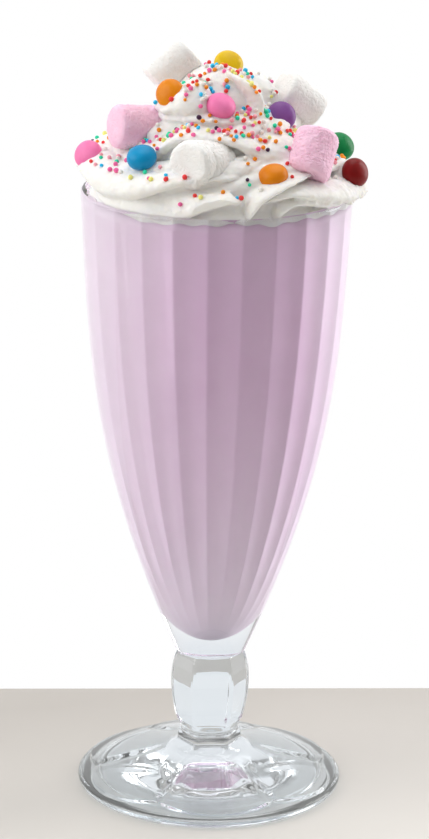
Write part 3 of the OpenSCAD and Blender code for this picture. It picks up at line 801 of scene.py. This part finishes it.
def make_cream(material):
    """The whole heap: rope, folds and cushions fused into one skin, then roughened."""
    folds = [fold(rows) for rows in FOLDS.values()]
    parts = [rope(ROPE_FROM, ROPE_TO), cream_fill(), cream_core(), *folds, *cushions(), *bubbles()]
    for start in BACK_LEAVES:
        parts.append(fold([(start + row[0], *row[1:]) for row in BACK_LEAF]))
    points, faces, start = [], [], 0
    for part_points, part_faces in parts:
        faces += [[start + i for i in face] for face in part_faces]
        points.append(part_points)
        start += len(part_points)
    piece = mesh_object("cream_swirl", np.vstack(points), faces)
    remesh(piece, VOXEL, SMOOTHING)
    points, normals = mesh_arrays(piece)
    press(points, DENT_AT, DENT_R, DENT_DEPTH)
    free = smooth((points[:, 2] - GLASS_H) / 2)
    degrees = np.degrees(np.arctan2(points[:, 0], -points[:, 1]))
    right = smooth((degrees - RAGGED_FROM) / RAGGED_FROM_W)
    right = right * smooth((RAGGED_TOP - points[:, 2]) / RAGGED_TOP_W)
    rough = sum(size * noise(points, cell, seed, octaves) for size, cell, seed, octaves in SKIN_NOISE)
    ragged = RAGGED_DEPTH * noise(points, RAGGED_CELL, 13, 2)
    points = clear_of_glass(points + normals * (rough * free + ragged * right)[:, None])
    low, high = (np.array(corner) / MM for corner in cad_box)
    set_points(piece, np.clip(points, low + BOX_MARGIN, high - BOX_MARGIN))
    return finish_piece(piece, material, "whipped_cream", "whipped_cream")


# ---------------------------------------------------------------- candies and marshmallows
YELLOW_TOP_DROP = 1.1
FRONT_GROWTH, FRONT_SHIFT = 1.1, np.array([0, -0.6, -0.6])
# Powers of an outline: the smaller, the straighter the side and the flatter the end.
CANDY_POWER, MALLOW_SIDE_POWER, MALLOW_END_POWER = 0.9, 0.21, 0.34
WRINKLE_DEPTH = 0.36
SOFTER_WRINKLES = {"marshmallow_white_left": 0.12, "marshmallow_white_right": 0.24}


def node_pose(node, longest):
    """Centre, turn matrix and size of a round CAD piece, with Z along its own axis."""
    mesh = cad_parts[node].data
    points = np.array([v.co for v in mesh.vertices]) / MM
    low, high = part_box(node)
    centre = np.array(low + high) / 2 / MM
    area = np.array([p.area for p in mesh.polygons])
    middle = np.array([p.center for p in mesh.polygons]) / MM - centre
    values, axes = np.linalg.eigh((middle * area[:, None]).T @ middle)
    axis = Vector(axes[:, -1] if longest else axes[:, 0])
    along = (points - centre) @ np.array(axis)
    across = np.linalg.norm(points - centre - along[:, None] * np.array(axis), axis=1)
    return centre, np.array(axis.to_track_quat("Z", "Y").to_matrix()), across.max(), np.abs(along).max()


def round_form(rings, around, outline):
    """Points and faces of a form turned about Z from outline(t) = (radius, height), t from 0 to 1."""
    t = (np.arange(rings) + 0.5) / rings
    r, z = outline(t)
    angle = np.arange(around) * 2 * math.pi / around
    points = np.stack([
        r[:, None] * np.cos(angle), r[:, None] * np.sin(angle), np.broadcast_to(z[:, None], (rings, around))
    ], -1).reshape(-1, 3)
    return points, tube_faces(rings, around)


def make_candy(node, material, slot, seed):
    """A slightly uneven flattened ball."""
    centre, turn, radius, half = node_pose(node, longest=False)
    if node == "candy_yellow_top":
        centre = centre - np.array([0, 0, YELLOW_TOP_DROP])

    def outline(t):
        a = (t - 0.5) * math.pi
        return radius * np.cos(a) ** CANDY_POWER, half * np.sign(a) * np.abs(np.sin(a)) ** CANDY_POWER

    points, faces = round_form(48, 64, outline)
    out = points / np.linalg.norm(points, axis=1)[:, None]
    points = points * (0.985 + 0.012 * noise(out, 0.8, seed))[:, None]
    piece = mesh_object(node + "_shell", points @ turn.T + centre, faces)
    return finish_piece(piece, material, slot, node)


def make_mallow(node, material, slot, seed):
    """A soft cylinder with rounded ends and a wrinkled side."""
    centre, turn, radius, half = node_pose(node, longest=True)
    if node == "marshmallow_white_front":
        radius, half, centre = radius * FRONT_GROWTH, half * FRONT_GROWTH, centre + FRONT_SHIFT
    round_in = 2.2

    def outline(t):
        a = (np.linspace(0.001, 0.999, 900) - 0.5) * math.pi
        r = radius * np.abs(np.cos(a)) ** MALLOW_SIDE_POWER
        z = half * np.sign(a) * np.abs(np.sin(a)) ** MALLOW_END_POWER
        along = np.concatenate([[0], np.cumsum(np.hypot(np.diff(r), np.diff(z)))])
        return np.interp(t * along[-1], along, r), np.interp(t * along[-1], along, z)

    points, faces = round_form(180, 210, outline)
    side = smooth((half - np.abs(points[:, 2])) / round_in)
    out = points / np.linalg.norm(points, axis=1)[:, None]
    angle = np.arctan2(points[:, 1], points[:, 0])
    skin = np.stack([np.cos(angle) * radius, np.sin(angle) * radius, points[:, 2] * 1.25], -1)
    skin = skin + 0.5 * noise(skin, 2.5, seed + 3)[:, None]
    folds = np.abs(noise(skin, 1.25, seed)) ** 0.6 + 0.5 * np.abs(noise(skin, 0.8, seed + 2)) ** 0.6
    depth = SOFTER_WRINKLES.get(node, WRINKLE_DEPTH)
    wrinkle = depth * (folds - 0.75) * side + 0.07 * noise(points, 1.1, seed + 5, 2) * (1 - side)
    lump = 0.22 * noise(points, 7.0, seed + 9)
    if node == "marshmallow_white_front":       # creased and pressed out of shape
        crease = np.exp(-((noise(points, 7.5, seed + 4) / 0.16) ** 2))
        lump = 0.45 * noise(points, 6.0, seed + 9, 2) - 0.5 * crease
    points = points + out * (wrinkle + lump - 0.1)[:, None]
    piece = mesh_object(node + "_puff", points @ turn.T + centre, faces)
    return finish_piece(piece, material, slot, node)


# ---------------------------------------------------------------- sprinkles
# Each kind's colour in display values, and its share of the whole.
SPRINKLES = {
    "white": ((253, 250, 244), 5), "orange": ((255, 150, 14), 4), "lemon": ((250, 245, 140), 3),
    "red": ((245, 56, 56), 4.5), "pink": ((255, 108, 172), 3), "blush": ((255, 172, 186), 2.5),
    "teal": ((30, 225, 176), 3), "cyan": ((36, 202, 255), 1.8), "plum": ((62, 14, 62), 0.6),
}
SPRINKLE_COUNT, MOST_TRIES = 400, 20000
SPRINKLE_LEAST_R, SPRINKLE_MOST_R = 0.6, 0.88
# Rings of the heap on which they fall, from and to a radius, with each ring's share.
RINGS = ((0, 13, 0.16), (16, 27, 0.6), (27, 42, 0.24))
DROP_FROM = 0.3     # in metres
# In shares of its radius: how far a sprinkle's centre stands out, and how far it keeps from others.
STAND_OUT, APART, CLEAR_OF_TOPPING = 0.55, 1.5, 0.9
BARE_BELOW, STEEPEST = 4, 0.2       # mm above the rim, and the upward part of the skin's normal
# Stretches with few: mm above the rim, where they start in mm from the axis, and the share left bare.
BACK_UP, BACK_FROM, BACK_BARE = 20, 4, 0.85
LEFT_UP, LEFT_FROM, LEFT_BARE = 25, -4, 0.6


def inside(tree, spot):
    """Whether a spot lies inside a closed form."""
    hit, normal = tree.find_nearest(spot)[:2]
    return hit is not None and (spot - hit).dot(normal) < 0


def is_bare(hit, normal, rng):
    """Whether a place on the cream is too steep, too low or in a stretch that has few sprinkles."""
    if hit is None or hit.z < (GLASS_H + BARE_BELOW) * MM or normal.z < STEEPEST:
        return True
    if hit.z > (GLASS_H + BACK_UP) * MM and hit.y > BACK_FROM * MM and rng.random() < BACK_BARE:
        return True
    return hit.z > (GLASS_H + LEFT_UP) * MM and hit.x < LEFT_FROM * MM and rng.random() < LEFT_BARE


def make_sprinkles(cream, toppings):
    """Drops sprinkles on the cream, clear of the toppings, one piece for each colour."""
    rng = np.random.default_rng(7)
    skin = BVHTree.FromObject(cream, bpy.context.evaluated_depsgraph_get())
    others = [BVHTree.FromObject(t, bpy.context.evaluated_depsgraph_get()) for t in toppings]
    names = list(SPRINKLES)
    share = np.array([SPRINKLES[n][1] for n in names])
    share = share / share.sum()
    spots = {n: [] for n in names}
    taken = []
    tries = 0
    while len(taken) < SPRINKLE_COUNT and tries < MOST_TRIES:
        tries += 1
        way = rng.uniform(0, 2 * math.pi)
        reach = rng.choice([rng.uniform(ring[0], ring[1]) for ring in RINGS], p=[ring[2] for ring in RINGS])
        start = Vector((reach * math.cos(way) * MM, reach * math.sin(way) * MM, DROP_FROM))
        hit, normal = skin.ray_cast(start, Vector((0, 0, -1)))[:2]
        if is_bare(hit, normal, rng):
            continue
        radius = rng.uniform(SPRINKLE_LEAST_R, SPRINKLE_MOST_R) * MM
        spot = hit + normal * radius * STAND_OUT
        if any((spot - p).length < APART * radius for p in taken):
            continue
        near = min(t.find_nearest(spot)[3] for t in others)
        if near < radius * CLEAR_OF_TOPPING:
            continue
        if any(inside(t, spot) for t in others):
            continue
        taken.append(spot)
        kind = names[rng.choice(len(names), p=share)]
        spots[kind].append((spot, radius, rng.uniform(0, 6.3, 3), rng.uniform(0.8, 1, 3)))
    for name in names:
        bead = bmesh.new()
        for spot, radius, turns, shape in spots[name]:
            turn = Matrix.Rotation(turns[0], 4, "X") @ Matrix.Rotation(turns[1], 4, "Y")
            place = Matrix.Translation(spot) @ turn @ Matrix.Diagonal((*(radius * shape), 1))
            bmesh.ops.create_icosphere(bead, subdivisions=3, radius=1, matrix=place)
        mesh = bpy.data.meshes.new("sprinkles_" + name)
        bead.to_mesh(mesh)
        bead.free()
        mesh.polygons.foreach_set("use_smooth", [True] * len(mesh.polygons))
        piece = bpy.data.objects.new("sprinkles_" + name, mesh)
        bpy.context.scene.collection.objects.link(piece)
        skin_colour = linear(*SPRINKLES[name][0])
        finish_piece(piece, sprinkle_finish("sprinkle_" + name, skin_colour), "whipped_cream")


# ---------------------------------------------------------------- stage, light and camera
TABLE_BACK = 0.081      # where the table ends behind the glass


def stage_plane(name, corners, material):
    """A flat four-sided piece of the stage, from corners in metres."""
    piece = mesh_object(name, np.array(corners) / MM, [[0, 1, 2, 3]], flat=True)
    piece.data.materials.append(material)


def glow(name, strength):
    material = bpy.data.materials.new(name)
    material.use_nodes = True
    nodes = material.node_tree.nodes
    nodes.clear()
    light = nodes.new("ShaderNodeEmission")
    light.inputs["Strength"].default_value = strength
    output = nodes.new("ShaderNodeOutputMaterial")
    material.node_tree.links.new(light.outputs["Emission"], output.inputs["Surface"])
    return material


TABLE_SPAN, TABLE_LEAN = 2, 0.042     # in metres; the far edge leans so that it lies level in the picture
SWEEP_SPAN, SWEEP_DOWN, SWEEP_BACK, SWEEP_FRONT = 4, -0.002, 3, -0.2
# The table's colour runs from dark to light toward the front and the right, as painted light and shade.
TABLE_PAINTED_LIGHT_FRONT, TABLE_PAINTED_LIGHT_RIGHT, TABLE_PAINTED_LIGHT_MIDDLE, TABLE_CLOUD = -3.5, 1.35, 0.23, 0.12


def table_finish():
    s = Shader("table", Roughness=0.55, Specular_IOR_Level=0.3)
    # Painted light and shade: the table is coloured lighter toward the front and the right, with a random
    # cloud on top.
    front = s.scaled(s.along("Y"), TABLE_PAINTED_LIGHT_FRONT, TABLE_PAINTED_LIGHT_MIDDLE)
    right = s.scaled(s.along("X"), TABLE_PAINTED_LIGHT_RIGHT, front)
    shade = s.scaled(s.noise(60, detail=6), TABLE_CLOUD, right)
    s.feed(s.ramp(shade, (0.0, (0.475, 0.45, 0.415)), (0.8, (0.80, 0.778, 0.73))), "Base Color")
    s.bump(s.noise(0.8), 0.05, 0.3)
    return s.material


def make_stage():
    """The table, and a white sweep and backdrop behind and under it."""
    span = TABLE_SPAN
    left, right = TABLE_BACK - span * TABLE_LEAN, TABLE_BACK + span * TABLE_LEAN
    corners = [(-span, -span, 0), (span, -span, 0), (span, right, 0), (-span, left, 0)]
    stage_plane("table", corners, table_finish())
    white = glow("white_sweep", 1.0)
    span, down = SWEEP_SPAN, SWEEP_DOWN
    near = [(-span, SWEEP_FRONT, down), (span, SWEEP_FRONT, down)]
    far = [(span, SWEEP_BACK, down), (-span, SWEEP_BACK, down)]
    stage_plane("sweep", near + far, white)
    stage_plane("backdrop", [*far[::-1], (span, SWEEP_BACK, span), (-span, SWEEP_BACK, span)], white)


def area_light(name, place, target, size, power):
    light = bpy.data.lights.new(name, "AREA")
    light.shape, light.size, light.size_y = "RECTANGLE", *size
    light.energy = power
    lamp = bpy.data.objects.new(name, light)
    lamp.location = place
    lamp.rotation_euler = (Vector(target) - Vector(place)).to_track_quat("-Z", "Y").to_euler()
    bpy.context.scene.collection.objects.link(lamp)


def make_light():
    """A big soft key at the left, one above, one at the right behind, and a pale sky."""
    middle = (0, 0, 0.15)
    area_light("key", (-1.05, -0.2, 0.7), middle, (1.1, 1.2), 9.5)
    area_light("top", (0.1, 0.2, 1.3), middle, (0.9, 0.9), 5.3)
    area_light("edge", (0.95, 0.42, 0.45), middle, (0.4, 1.0), 6.4)
    world = bpy.data.worlds.new("world")
    bpy.context.scene.world = world
    world.use_nodes = True
    nodes, links = world.node_tree.nodes, world.node_tree.links
    axis = nodes.new("ShaderNodeSeparateXYZ")
    links.new(nodes.new("ShaderNodeTexCoord").outputs["Generated"], axis.inputs["Vector"])
    share = nodes.new("ShaderNodeMapRange")
    for socket, value in (("From Min", -0.05), ("From Max", 0.5), ("To Min", 0.155), ("To Max", 0.54)):
        share.inputs[socket].default_value = value
    links.new(axis.outputs["Z"], share.inputs["Value"])
    nodes["Background"].inputs["Color"].default_value = (1.0, 0.985, 0.965, 1)
    links.new(share.outputs["Result"], nodes["Background"].inputs["Strength"])


LENS, SENSOR = 145.55, 36               # in mm
EYE = (0, -1.0446, 0.4395)              # in metres
LOOK_DOWN, ROLL = 16.796, 0.804         # in degrees


def make_camera():
    """A long lens a little over a metre away, looking down."""
    camera = bpy.data.cameras.new("camera")
    camera.lens, camera.sensor_width = LENS, SENSOR
    camera.shift_x = 0.001
    eye = bpy.data.objects.new("camera", camera)
    look = Matrix.Rotation(math.radians(90 - LOOK_DOWN), 4, "X")
    roll = Matrix.Rotation(math.radians(ROLL), 4, "Z")
    eye.matrix_world = Matrix.Translation(EYE) @ look @ roll
    bpy.context.scene.collection.objects.link(eye)
    bpy.context.scene.camera = eye


make_camera()
make_stage()
make_light()
make_glass(clear_glass())
make_drink(milk())
cream = make_cream(cream_finish())

CANDY_COLOURS = {
    "yellow": ((0.74, 0.47, 0.0), (0.84, 0.58, 0.005)), "orange": ((0.72, 0.20, 0.0), (0.82, 0.27, 0.002)),
    "pink": ((0.88, 0.18, 0.42), (0.95, 0.24, 0.50)), "purple": ((0.19, 0.06, 0.26), (0.25, 0.09, 0.34)),
    "blue": ((0.0, 0.24, 0.50), (0.0, 0.31, 0.60)), "green": ((0.0, 0.18, 0.04), (0.0, 0.25, 0.07)),
    "red": ((0.18, 0.001, 0.001), (0.25, 0.003, 0.002)),
}
candy_skins = {c: candy_finish("candy_" + c, *pair) for c, pair in CANDY_COLOURS.items()}
mallow_skins = {
    "white": mallow_finish("marshmallow_white", (0.90, 0.887, 0.865), (0.94, 0.93, 0.91)),
    "pink": mallow_finish("marshmallow_pink", (0.96, 0.575, 0.74), (0.98, 0.64, 0.795)),
}
toppings = []
for kind, make, skins, first_seed in (
    ("candy_", make_candy, candy_skins, 20), ("marshmallow_", make_mallow, mallow_skins, 40)
):
    for seed, node in enumerate(sorted(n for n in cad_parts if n.startswith(kind))):
        colour = node.split("_")[1]
        toppings.append(make(node, skins[colour], kind + colour, first_seed + seed))
make_sprinkles(cream, toppings)

scene = bpy.context.scene
scene.view_settings.view_transform = "Standard"
scene.cycles.use_denoising = True
scene.cycles.max_bounces = 16
scene.cycles.transmission_bounces = 14
scene.cycles.glossy_bounces = 12
